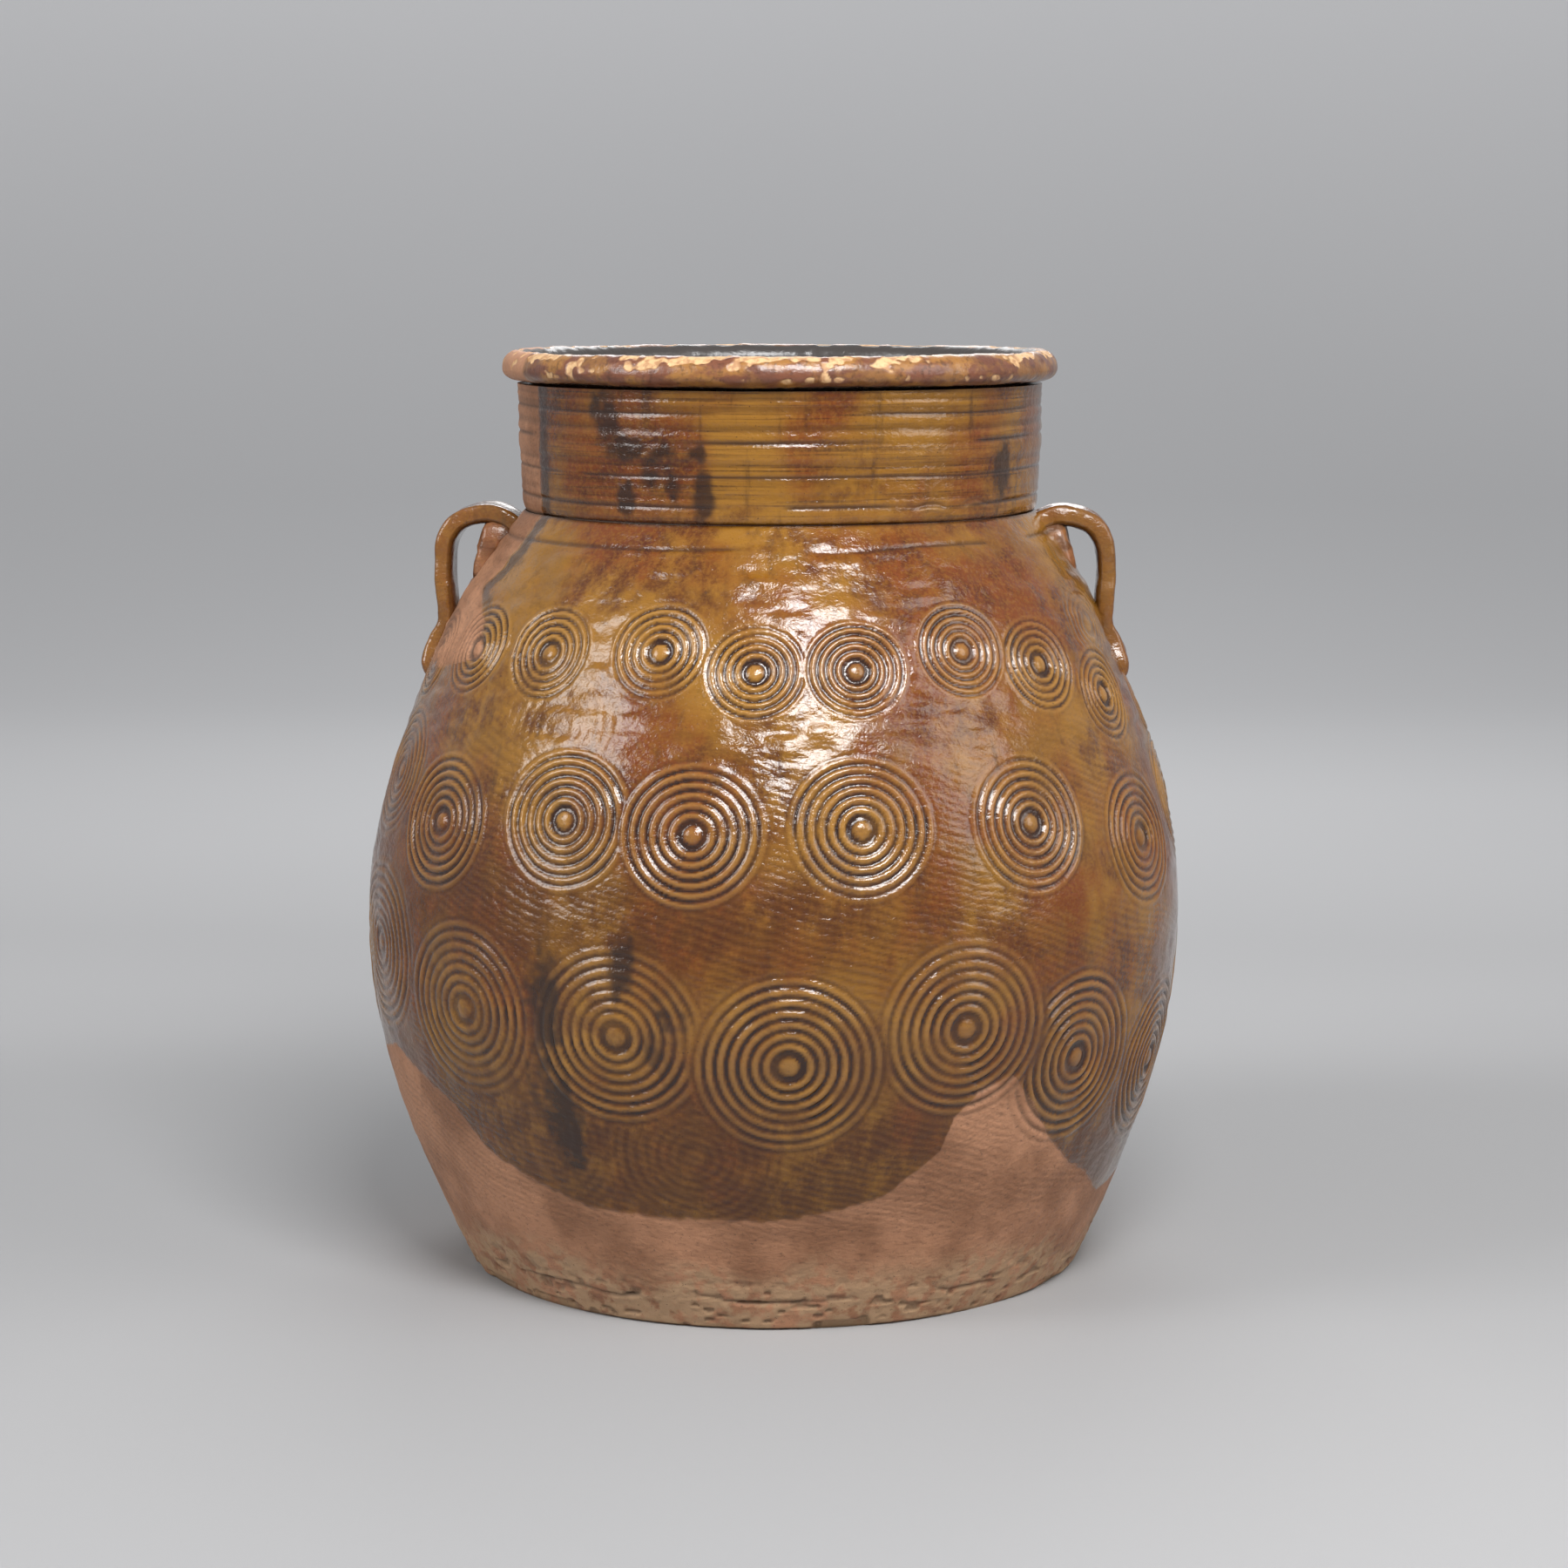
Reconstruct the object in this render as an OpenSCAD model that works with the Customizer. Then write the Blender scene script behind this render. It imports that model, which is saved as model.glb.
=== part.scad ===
// Martaban jar: a wide-mouthed, glazed stoneware storage jar, in millimetres.
// It is built from the potter's own pieces: a base slab, two coiled and paddled walls,
// a thrown neck, a rolled lip, and two strap handles, each bedded on a wad of clay.
// Every seam is a luting bevel, where the upper piece sits on a cone of the lower one.
// The origin is at the centre of the base, +Z is up and the handles are on -X and +X.

/* [Base] */
// Diameter of the base slab where it stands
base_d = 267; // [255:1:280]
// Height of the seam where the lower wall sits on the slab's edge
base_seam_h = 13; // [10:0.5:16]
// Thickness of the slab at its middle
base_t = 14; // [10:0.5:16]

/* [Body] */
// Diameter of the belly at its widest
belly_d = 357; // [345:1:370]
// Height of the belly's widest line
belly_h = 155; // [145:1:170]
// Height of the seam between the lower and the upper wall
wall_seam_h = 125; // [105:1:140]
// Diameter where the shoulder turns in
shoulder_d = 282; // [274:1:290]
// Drop from the neck's seam to the shoulder's turn
shoulder_drop = 44; // [40:1:48]
// Height of the body up to the neck's seam
body_h = 331; // [322:1:340]
// Thickness of the wall at the foot
foot_wall_t = 11; // [9:0.5:13]
// Thickness of the wall at the neck's seam
wall_t = 8; // [7:0.5:10]
// Rise of a luting bevel from the outside of the wall to its inside
lute_rise = 4; // [2:0.5:6]
// Depth of the groove left on the outside of a luted seam
seam_groove = 1; // [0.5:0.1:1.5]

/* [Neck and lip] */
// Diameter of the neck at its seam with the body
neck_d = 222; // [216:1:228]
// Diameter of the neck under the lip
rim_d = 227.6; // [222:0.2:234]
// Height of the neck between its seam and the lip
neck_h = 53; // [45:1:60]
// Number of throwing lines round the neck
throw_lines = 4; // [2:1:6]
// Depth of a throwing line
throw_depth = 0.6; // [0.2:0.1:1]
// Height of the rolled lip
lip_h = 16; // [13:0.5:19]
// How far the lip rolls out past the neck
lip_out = 6.8; // [5:0.2:9]
// Drop of the bevel that seats the lip on the neck
lip_seat_drop = 6; // [4:0.5:7]

/* [Handles] */
// Height of a handle, from its crown to the tip of its lower root
handle_h = 70; // [64:1:76]
// How far the crown's outer face stands above the neck's seam
crown_rise = 1; // [-1:0.5:3]
// Clear gap between the shoulder and the middle of the strap
loop_gap = 11.5; // [9:0.5:15]
// Width of the strap
strap_w = 24; // [20:1:28]
// Thickness of the strap
strap_t = 6; // [5:0.5:8]
// Depth of the hollow along the strap's outer face
strap_hollow = 1; // [0:0.1:1.5]
// Width of the clay wad under the strap's upper root
wad_w = 30; // [27:1:33]
// Radius of the wad's lower corners
wad_corner = 6; // [3:0.5:9]

/* [Hidden] */
$fn = 144;

bare_clay = "rosybrown";
brown_glaze = "sienna";
dark_glaze = "saddlebrown";
amber_glaze = "peru";

neck_r = neck_d / 2;
rim_r = rim_d / 2;
neck_top_h = body_h + neck_h;
shoulder_h = body_h - shoulder_drop;
foot_chamfer = 1.5;
// How far in from the wall the floor starts to turn up
floor_turn = 22;
// How deep the strap is bedded in its wad
bedding = 0.9;
// How far out from the neck's radius the strap's crown lies
crown_out = 14;
// How far the strap climbs and runs from its end inside the shoulder to its crown
root_drop = 13;
root_run = 19;
// Radius of the bend from the crown down into the run
bend_r = 11;
// How far the middle of the lower pad lies off the wall
pad_lift = 0.5;

// Slopes of the outer profile, as the change of radius with height
foot_slope = 0.5;
shoulder_slope = -0.45;
neck_slope = -0.72;

// Steps along each stretch of the profiles
floor_steps = 5;
lower_steps = 9;
upper_steps = 20;
line_steps = 6;
lip_steps = 20;

// A smooth curve between two stations, each a height, a radius and a slope
function blend(a, b, z) =
    let (span = b[0] - a[0], t = (z - a[0]) / span, u = 1 - t)
    a[1] * (1 + 2 * t) * u * u + a[2] * span * t * u * u
    + b[1] * t * t * (3 - 2 * t) - b[2] * span * t * t * u;

foot_station = [0, base_d / 2, foot_slope];
belly_station = [belly_h, belly_d / 2, 0];
shoulder_station = [shoulder_h, shoulder_d / 2, shoulder_slope];
neck_station = [body_h, neck_r, neck_slope];

// Outer radius of the body at a height
function body_r(z) =
    z < belly_h ? blend(foot_station, belly_station, z)
    : z < shoulder_h ? blend(belly_station, shoulder_station, z)
    : blend(shoulder_station, neck_station, z);

function body_slope(z) = (body_r(z + 0.01) - body_r(z - 0.01)) / 0.02;
function wall_at(z) = foot_wall_t + (wall_t - foot_wall_t) * z / body_h;

// A point on the outside of the body, and the one square to it on the inside
function outside(z) = [body_r(z), z];
function inside(z) =
    let (s = body_slope(z), t = wall_at(z) / sqrt(1 + s * s))
    [body_r(z) - t, z + s * t];

function steps(from, to, count) = [for (i = [0:count]) from + (to - from) * i / count];
function reversed(points) = [for (i = [len(points) - 1:-1:0]) points[i]];

lower_heights = steps(base_seam_h, wall_seam_h, lower_steps);
upper_heights = steps(wall_seam_h, body_h, upper_steps);
body_outline = concat(
    [for (z = lower_heights) outside(z)],
    [for (i = [1:upper_steps]) outside(upper_heights[i])]
);

// Inner ends of the luting bevels
base_seat_in = inside(base_seam_h) + [0, lute_rise];
wall_seat_in = inside(wall_seam_h) + [0, lute_rise];
neck_seat_in = inside(body_h);
neck_t = neck_r - neck_seat_in[0];

// Radius of the neck: it flares towards the lip and carries the throwing lines
function neck_radius(t) =
    let (flare = 1 - (1 - t) * (1 - t), line = (1 + cos(360 * (t * throw_lines - 0.58))) / 2)
    neck_r + (rim_r - neck_r) * flare - throw_depth * line * line;

neck_steps = throw_lines * line_steps;
neck_outline = concat(
    [for (i = [1:neck_steps - 1]) [neck_radius(i / neck_steps), body_h + neck_h * i / neck_steps]],
    [[rim_r, neck_top_h]]
);
neck_bore_top = rim_r - neck_t;

// The handle's centre line: each station is a radius, a height, a share of the strap's
// width and a share of its thickness, from the upper root inside the shoulder to the tip.
// It climbs out of the shoulder, bends over the crown, runs down clear of the wall, is
// pinched where it comes back to the wall and ends in a pad pressed on to it.
crown_h = body_h + crown_rise - strap_t / 2;
crown_r = neck_r + crown_out;
run_h = body_h - handle_h * 0.37;
run_r = body_r(run_h) + loop_gap + strap_t / 2;
pinch_h = crown_h - handle_h * 0.68;
pad_h = crown_h - handle_h * 0.8;
tip_h = crown_h - handle_h * 0.92;
end_h = crown_h - handle_h;
handle_line = [
    [crown_r - root_run, crown_h - root_drop, 1.15, 1],
    [crown_r - root_run * 0.53, crown_h - root_drop * 0.27, 1.1, 1],
    [crown_r, crown_h, 1.05, 1],
    [run_r - bend_r * 0.73, crown_h - bend_r * 0.27, 1, 1],
    [run_r - bend_r * 0.14, crown_h - bend_r, 1, 0.95],
    [run_r, run_h, 1, 0.9],
    [run_r - bend_r * 0.05, (run_h + pinch_h) / 2, 0.95, 0.9],
    [body_r(pinch_h) + pad_lift, pinch_h, 0.88, 1],
    [body_r(pad_h) + pad_lift, pad_h, 1.1, 1.15],
    [body_r(tip_h) - pad_lift * 2, tip_h, 0.95, 1],
    [body_r(end_h) - pad_lift * 10, end_h, 0.6, 0.6]
];
line_last = len(handle_line) - 1;
steps_per_station = 3;
section_sides = 18;

// A smooth curve through four stations, at a share t of the middle stretch
function through(a, b, c, d, t) =
    0.5 * (2 * b + (c - a) * t + (2 * a - 5 * b + 4 * c - d) * t * t
    + (3 * b - a - 3 * c + d) * t * t * t);

function station(i) = handle_line[min(max(i, 0), line_last)];
function handle_at(s) =
    let (i = min(floor(s), line_last - 1))
    through(station(i - 1), station(i), station(i + 1), station(i + 2), s - i);

// Cross-section of the strap: a soft-edged band with a hollow along its outer face
function soft(v) = sign(v) * pow(abs(v), 0.5);
function strap_section(w, t) = [
    for (i = [0:section_sides - 1])
        let (
            a = 360 * i / section_sides,
            across = soft(cos(a)) * w / 2,
            out = soft(sin(a)) * t / 2,
            hollow = sin(a) > 0.1 ? strap_hollow * pow(cos(180 * across / w), 2) : 0
        )
        [across, out - hollow]
];

// A point off the centre line, square to it in the handle's plane
function off_line(s, lift) =
    let (
        here = handle_at(s),
        ahead = handle_at(min(s + 0.05, line_last)),
        behind = handle_at(max(s - 0.05, 0)),
        run = [ahead[0] - behind[0], ahead[1] - behind[1]],
        along = run / norm(run)
    )
    [here[0] - along[1] * lift, here[1] + along[0] * lift];

ring_count = line_last * steps_per_station + 1;
function strap_ring(k) =
    let (s = k / steps_per_station, here = handle_at(s))
    [
        for (p = strap_section(strap_w * here[2], strap_t * here[3]))
            let (q = off_line(s, p[1]))
            [q[0], p[0], q[1]]
    ];

module strap_blank() {
    rings = [for (k = [0:ring_count - 1]) each strap_ring(k)];
    n = section_sides;
    last = (ring_count - 1) * n;
    sides = [
        for (k = [0:ring_count - 2], i = [0:n - 1])
            let (a = k * n + i, b = k * n + (i + 1) % n)
            each [[a, b, a + n], [b, b + n, a + n]]
    ];
    first_cap = [for (i = [1:n - 2]) [0, i + 1, i]];
    last_cap = [for (i = [1:n - 2]) [last, last + i, last + i + 1]];
    polyhedron(rings, concat(sides, first_cap, last_cap), convexity = 6);
}

// The space that the body and the neck fill, which everything luted on is cut to
module jar_envelope() {
    rotate_extrude() polygon(concat([[0, 0]], body_outline, neck_outline, [[0, neck_top_h]]));
}

module base_slab() {
    color(bare_clay) rotate_extrude() polygon([
        [0, 0],
        [base_d / 2 - foot_chamfer, 0],
        [base_d / 2, foot_chamfer],
        outside(base_seam_h - seam_groove),
        outside(base_seam_h) - [seam_groove, 0],
        for (i = [0:floor_steps])
            let (a = 90 * i / floor_steps, rise = base_seat_in[1] - base_t)
            [base_seat_in[0] - floor_turn * (1 - cos(a)), base_seat_in[1] - rise * sin(a)],
        [0, base_t]
    ]);
}

module lower_wall() {
    outer = [for (i = [1:lower_steps]) outside(lower_heights[i])];
    inner = [for (i = [1:lower_steps]) inside(lower_heights[i])];
    color(brown_glaze) rotate_extrude() polygon(concat(
        [outside(base_seam_h) - [seam_groove, 0], outside(base_seam_h + seam_groove)],
        outer,
        [wall_seat_in],
        reversed([for (i = [0:lower_steps - 2]) inner[i]]),
        [base_seat_in]
    ));
}

module upper_wall() {
    outer = [for (i = [0:upper_steps - 1]) outside(upper_heights[i])];
    inner = [for (i = [1:upper_steps - 1]) inside(upper_heights[i])];
    color(amber_glaze) rotate_extrude() polygon(concat(
        outer,
        [outside(body_h - seam_groove), outside(body_h) - [seam_groove, 0], neck_seat_in],
        reversed(inner),
        [wall_seat_in]
    ));
}

module neck_collar() {
    color(brown_glaze) rotate_extrude() polygon(concat(
        [outside(body_h) - [seam_groove, 0], [neck_radius(0), body_h + seam_groove]],
        neck_outline,
        [[neck_bore_top, neck_top_h + lip_seat_drop], neck_seat_in]
    ));
}

// The lip is a roll with an oval section whose inner side runs on into the neck's bore
module lip_roll() {
    half_h = lip_h / 2;
    roll = [
        for (i = [0:lip_steps])
            let (
                a = -90 + 270 * i / lip_steps,
                reach = cos(a) > 0 ? lip_out : neck_t
            )
            [rim_r + reach * cos(a), neck_top_h + half_h + half_h * sin(a)]
    ];
    color(dark_glaze) rotate_extrude() polygon(concat(
        roll,
        [[neck_bore_top, neck_top_h + lip_seat_drop]]
    ));
}

module handle_pose(side) {
    rotate([0, 0, side > 0 ? 0 : 180]) children();
}

module handle(side) {
    color(amber_glaze) handle_pose(side) difference() {
        strap_blank();
        jar_envelope();
        wad_blank();
    }
}

// The wad fills the corner between the shoulder and the strap's upper root. Its top follows
// the underside of the strap, which is bedded in it, and its lower corners are round.
module wad_blank() {
    low_h = run_h - bedding;
    face_r = body_r(low_h);
    top = [for (s = [0.6:0.25:2.35]) off_line(s, bedding - strap_t / 2)];
    high_h = crown_h;
    intersection() {
        rotate([90, 0, 0]) linear_extrude(wad_w, center = true) polygon(concat(
            top,
            [[face_r - bedding, (high_h + low_h) / 2], [face_r, low_h], [neck_r - wall_t, low_h]]
        ));
        rotate([90, 0, 90]) linear_extrude(2 * face_r) union() {
            translate([-wad_w / 2, low_h + wad_corner]) square([wad_w, high_h - low_h]);
            translate([-wad_w / 2 + wad_corner, low_h])
                square([wad_w - 2 * wad_corner, 2 * wad_corner]);
            for (end = [-1, 1])
                translate([end * (wad_w / 2 - wad_corner), low_h + wad_corner]) circle(wad_corner);
        }
    }
}

module handle_wad(side) {
    color(bare_clay) handle_pose(side) difference() {
        wad_blank();
        jar_envelope();
    }
}

module left_handle() { handle(-1); }
module right_handle() { handle(1); }
module left_handle_wad() { handle_wad(-1); }
module right_handle_wad() { handle_wad(1); }

base_slab();
lower_wall();
upper_wall();
neck_collar();
lip_roll();
left_handle();
right_handle();
left_handle_wad();
right_handle_wad();
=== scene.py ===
import math

import bpy
import numpy as np
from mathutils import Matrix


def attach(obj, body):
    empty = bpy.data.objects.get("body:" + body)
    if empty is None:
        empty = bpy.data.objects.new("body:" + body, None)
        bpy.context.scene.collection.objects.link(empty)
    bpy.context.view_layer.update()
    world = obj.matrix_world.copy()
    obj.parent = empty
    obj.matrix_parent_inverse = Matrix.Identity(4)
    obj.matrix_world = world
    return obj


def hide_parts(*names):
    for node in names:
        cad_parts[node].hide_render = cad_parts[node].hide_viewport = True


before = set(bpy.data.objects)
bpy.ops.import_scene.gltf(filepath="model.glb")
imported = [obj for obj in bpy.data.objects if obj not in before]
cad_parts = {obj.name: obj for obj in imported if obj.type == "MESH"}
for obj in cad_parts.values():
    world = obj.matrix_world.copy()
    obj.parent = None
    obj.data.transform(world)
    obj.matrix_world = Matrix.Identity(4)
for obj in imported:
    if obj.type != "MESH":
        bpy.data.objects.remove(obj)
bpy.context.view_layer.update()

MM = 0.001

# How fine the meshes are: columns round the jar, and the distance between rows on its skin
COLUMNS = 1200
ROW_SPACING = 0.95
COLUMN_ANGLES = np.arange(COLUMNS) * 360.0 / COLUMNS - 180.0

# Heights where one piece of the thrown jar meets the next
SLAB_TOP = 13.0
WALL_SEAM = 125.0
NECK_SEAM = 331.0
NECK_TOP = 385.5

# The body's profile: a height, a radius and a slope at each station
FOOT = (0.0, 133.5, 0.5)
BELLY = (155.0, 178.5, 0.0)
SHOULDER = (287.0, 141.0, -0.45)
NECK_ROOT = (NECK_SEAM, 111.0, -0.72)

# The neck spreads a little, up to the height where it is widest
NECK_SPREAD = 2.8
NECK_WIDEST = 384.0

# The jar leans to the photograph's right between this height and the neck's seam
LEAN_FROM = 255.0
NECK_DRIFT = 2.3

# The inside: the wall's thickness at the foot, how much it thins by the neck, the neck's bore,
# where the bore ends on the shoulder and under the lip, and the floor
WALL_THICK = 11.0
WALL_THINNING = 3.0
BORE_TOP = 107.3
BORE_SEAM = 104.5
BORE_END = 323.0
BORE_UNDER_LIP = 389.0
FLOOR_HEIGHT = 14.0

# The lip's oval roll: its middle, its reach each way, and how far its skin is drawn in
RIM_RADIUS = 113.8
LIP_HEIGHT = 392.0
LIP_OUT = 6.8
LIP_IN = 6.5
LIP_UP = 8.0
LIP_DOWN = 5.2
LIP_DRAWN_IN = 0.3
LIP_ROWS = 84

# The camera, fitted to the photograph
CAMERA_AZIMUTH = 3.0
CAMERA_DISTANCE = 1630.5
CAMERA_HEIGHT = 438.8
CAMERA_ASIDE = 4.2
CAMERA_PITCH = 8.016
CAMERA_LENS = 85.67

# How one stamp is cut: boss radius, first ring, distance between rings, and reach
TOP_STAMP = (3.7, 7.3, 3.5, 24.5)
MIDDLE_STAMP = (3.9, 8.1, 4.2, 34.5)
LOWER_STAMP = (4.4, 8.9, 4.6, 44.0)

# A stamp at full depth: the rings' height, the boss's height and the dish that it all sits in
RING_HEIGHT = 0.66
BOSS_HEIGHT = 1.3
DISH_DEPTH = 0.3

# Where each stamp was pressed: angle, height and a share of the full depth
TOP_ROW = (
    (-180, 277, 1), (-162, 279, 0.9), (-144, 274, 1), (-127, 280, 0.9), (-110, 276, 1),
    (-92, 252, 0.7), (-75, 271, 0.8), (-56, 277, 1), (-37, 279, 1), (90, 250, 0.8), (108, 277, 1),
    (126, 274, 0.9), (144, 280, 1), (162, 276, 1), (71, 285, 0.45), (-16, 282, 0.95), (51, 273, 1),
    (67, 257, 0.9), (35, 281, 1), (0, 275, 1), (16, 275, 1.05),
)
MIDDLE_ROW = (
    (-163, 214, 1), (-140, 207, 1), (-117, 216, 0.9), (-94, 209, 1), (88, 206, 0.9), (111, 213, 1),
    (134, 208, 1), (157, 212, 0.9), (180, 209, 1), (-31, 251, 0.3), (-71, 222, 0.7), (-51, 208, 0.95),
    (-27, 215, 0.95), (66, 198, 0.8), (41, 212, 0.9), (15, 214, 1), (-8, 212, 1.1),
)
LOWER_ROW = (
    (-161, 122, 0.9), (-138, 131, 1), (-115, 118, 0.8), (-91, 128, 1), (97, 120, 0.9), (120, 129, 1),
    (143, 119, 0.9), (167, 127, 1), (-32, 86, 0.3), (-8, 80, 0.35), (-68, 149, 0.7), (-43, 133, 0.75),
    (-18, 130, 0.8), (74, 98, 0.9), (49, 112, 0.85), (29, 132, 0.8), (5, 120, 0.9),
)

# The lower edge of the glaze: angle and height, in lobes with bare clay between them
GLAZE_EDGE_ANGLES = (
    -170, -152, -136, -118, -100, -82, -66, -58, -49, -43, -34, -26, -14, 0, 6, 12, 19, 23, 27, 28.5,
    32, 37, 41, 46, 54, 69, 88, 104, 118, 128, 146, 164,
)
GLAZE_EDGE_HEIGHTS = (
    62, 48, 66, 102, 90, 96, 104, 97, 86, 71, 60, 53, 50, 50, 51, 55, 61, 70, 80, 95,
    107, 110, 97, 81, 62, 41, 44, 60, 96, 104, 66, 52,
)

# The strip of bare clay that runs down the neck and shoulder at the left: height and right edge
STRIP_HEIGHTS = (266, 274, 288, 300, 312, 331, 400)
STRIP_EDGES = (-68, -53, -57, -67, -63, -61.5, -61)
STRIP_WIDTH = 44.0

# Dark runs in the glaze: angle, height, half width and half height
DARK_RUNS = (
    (-29, 128, 8, 34), (-27, 95, 9, 20), (-11, 131, 7, 15), (-17, 160, 5, 12),
    (-36, 374, 7, 12), (-25, 352, 5, 12), (-20, 345, 5, 9), (-12, 343, 6, 11),
    (-31, 340, 5, 7), (60, 352, 6, 10), (112, 160, 10, 40), (-140, 170, 14, 30),
    (170, 250, 12, 26), (140, 352, 6, 14), (-120, 365, 8, 12), (-30, 362, 14, 5), (-15, 360, 10, 4),
)

# A dark patch left of the front, between two rows of stamps: angle and height
DARK_PATCH_ANGLE = -28.0
DARK_PATCH_HEIGHT = 174.0

# The paddle's ridges: the distance between them up the wall, and how many go round the jar
PADDLE_PITCH = 3.3
PADDLE_TURNS = 96.0

# The belly is fuller above this height on the right and below it on the left
LOPSIDED_HEIGHT = 165.0
LOPSIDED_DEPTH = 1.1

# The line scored round the shoulder lies this far below the neck's seam
SCORED_BELOW = 9.5
SEAM_WIDTH = 0.8

# Lines thrown round the neck: height, width and depth
NECK_LINES = ((376.6, 0.7, 0.45), (365, 0.9, 0.6), (351, 0.7, 0.5), (338.6, 0.8, 0.5))
NECK_ROWS = 96
NECK_INNER_ROWS = 30
RING_NOISES = 240

# Gouges in the neck: angle and height, with half their length
NECK_GOUGES = ((37, 338.5), (50, 339.5), (-128, 342))
GOUGE_HALF = 7.0

# The lip's two large flakes: angle and half width, in degrees
LARGE_FLAKES = ((-9.0, 10.0), (152.0, 12.0))

# Cells along each side of a cloud's random table, and how much its values are stretched
CLOUD_CELLS = 32
CLOUD_GAIN = 1.6

# Steps that measure the profile's slope and its length
SLOPE_STEP = 0.25
ARC_STEPS = 1600


def ramp(low, high, value):
    """0 below low, 1 above high, and a soft rise between them."""
    t = np.clip((value - low) / (high - low), 0.0, 1.0)
    return t * t * (3.0 - 2.0 * t)


def band(low, rise, fall, high, value):
    """1 from rise to fall and 0 outside low and high, with soft sides."""
    return ramp(low, rise, value) * (1.0 - ramp(fall, high, value))


def soft_line(value, place, width, power=2):
    """1 at place, with a soft fall to both sides of it."""
    return np.exp(-((value - place) / width) ** power)


def cloud(points, size, seed):
    """Smooth random values, mostly from -1 to 1, with features about size millimetres across."""
    table = np.random.default_rng(seed).random((CLOUD_CELLS,) * 3) * 2.0 - 1.0
    scaled = points / np.asarray(size)
    cell = np.floor(scaled).astype(int)
    t = scaled - cell
    t = t * t * (3.0 - 2.0 * t)
    total = np.zeros(points.shape[:-1])
    for corner in range(8):
        step = np.array((corner & 1, corner >> 1 & 1, corner >> 2 & 1))
        weight = np.prod(np.where(step == 1, t, 1.0 - t), axis=-1)
        index = (cell + step) % CLOUD_CELLS
        total += weight * table[index[..., 0], index[..., 1], index[..., 2]]
    return total * CLOUD_GAIN


def blend(a, b, z):
    """The radius on the smooth curve from station a to station b."""
    span = b[0] - a[0]
    t = (z - a[0]) / span
    u = 1.0 - t
    from_a = a[1] * (1.0 + 2.0 * t) * u * u + a[2] * span * t * u * u
    from_b = b[1] * t * t * (3.0 - 2.0 * t) - b[2] * span * t * t * u
    return from_a + from_b


def outer_radius(z):
    """The jar's outer radius at height z, from the base to the top of the neck."""
    z = np.asarray(z, dtype=float)
    rise = (z - NECK_SEAM) / (NECK_WIDEST - NECK_SEAM)
    neck = NECK_ROOT[1] + NECK_SPREAD * (1.0 - (1.0 - rise) ** 2)
    parts = [blend(FOOT, BELLY, z), blend(BELLY, SHOULDER, z), blend(SHOULDER, NECK_ROOT, z)]
    return np.select([z < BELLY[0], z < SHOULDER[0], z < NECK_SEAM], parts, neck)


def slope_at(z):
    """How fast the outer radius grows with height."""
    return (outer_radius(z + SLOPE_STEP) - outer_radius(z - SLOPE_STEP)) / (2.0 * SLOPE_STEP)


ARC_HEIGHTS = np.linspace(0.0, NECK_TOP, ARC_STEPS)
ARC_PIECES = np.hypot(np.diff(ARC_HEIGHTS), np.diff(outer_radius(ARC_HEIGHTS)))
ARC_LENGTHS = np.concatenate(([0.0], np.cumsum(ARC_PIECES)))


def arc_length(z):
    """The distance along the profile from the base to height z."""
    return np.interp(z, ARC_HEIGHTS, ARC_LENGTHS)


def even_heights(low, high, spacing):
    """Heights from low to high that are evenly spaced along the profile."""
    start, end = arc_length([low, high])
    along = np.linspace(start, end, int(round((end - start) / spacing)) + 1)
    return np.interp(along, ARC_LENGTHS, ARC_HEIGHTS)


def around(angles, radius, z):
    """Points round the jar's centre line, which leans to the photograph's right near the neck."""
    lean = NECK_DRIFT * ramp(LEAN_FROM, NECK_SEAM, z)
    turn = math.radians(CAMERA_AZIMUTH)
    a = np.radians(angles)
    x = radius * np.sin(a) + lean * math.cos(turn)
    y = -radius * np.cos(a) + lean * math.sin(turn)
    return np.stack(np.broadcast_arrays(x, y, z), axis=-1)


def away(angles, centre):
    """The turn from centre to each angle, from -180 to 180."""
    return (angles - centre + 180.0) % 360.0 - 180.0


def stamp_mark(x, y, depth, style, number, patchy):
    """One stamp's height, its ridges' light paint (thinned glaze and painted highlight), its grooves'
    dark paint (pooled glaze and painted shade) and cover at x and y millimetres from its middle.
    """
    boss, first, pitch, reach = style
    bearing = np.arctan2(y, x)
    wander = 0.35 * np.sin(bearing * 2.0 + number)
    distance = np.hypot(x, y * 1.02) * (1.0 + 0.012 * wander)
    wave = np.cos((distance - first) / pitch * 2.0 * math.pi)
    ridge = np.where(distance < first - pitch / 2.0, -1.0, 1.0 - 2.0 * ((1.0 - wave) / 2.0) ** 1.9)
    tilt = 1.0 + 0.28 * np.cos(bearing - number * 2.4) * ramp(8.0, reach, distance)
    fade = 1.0 - ramp(reach * 0.72, reach, distance)
    fade *= depth * tilt * (0.95 + 0.3 * patchy)
    dome = np.sqrt(np.clip(1.0 - (distance / boss) ** 2, 0.0, 1.0))
    height = RING_HEIGHT * ridge * fade + dome * BOSS_HEIGHT * depth
    height -= DISH_DEPTH * depth * (1.0 - (distance / reach) ** 2)
    thin_glaze_and_highlight = np.clip(np.maximum(ridge, dome * 1.6 - 0.4), 0.0, 1.0) * fade
    groove = np.clip(0.35 - 1.2 * ridge, 0.0, 1.0) * (1.0 - np.clip(dome * 2.0, 0.0, 1.0)) * fade
    cover = (1.0 - ramp(reach * 0.86, reach, distance)) * min(1.0, depth * 1.15)
    return {"height": height, "thin_glaze_and_highlight": thin_glaze_and_highlight, "groove": groove}, cover


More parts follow.
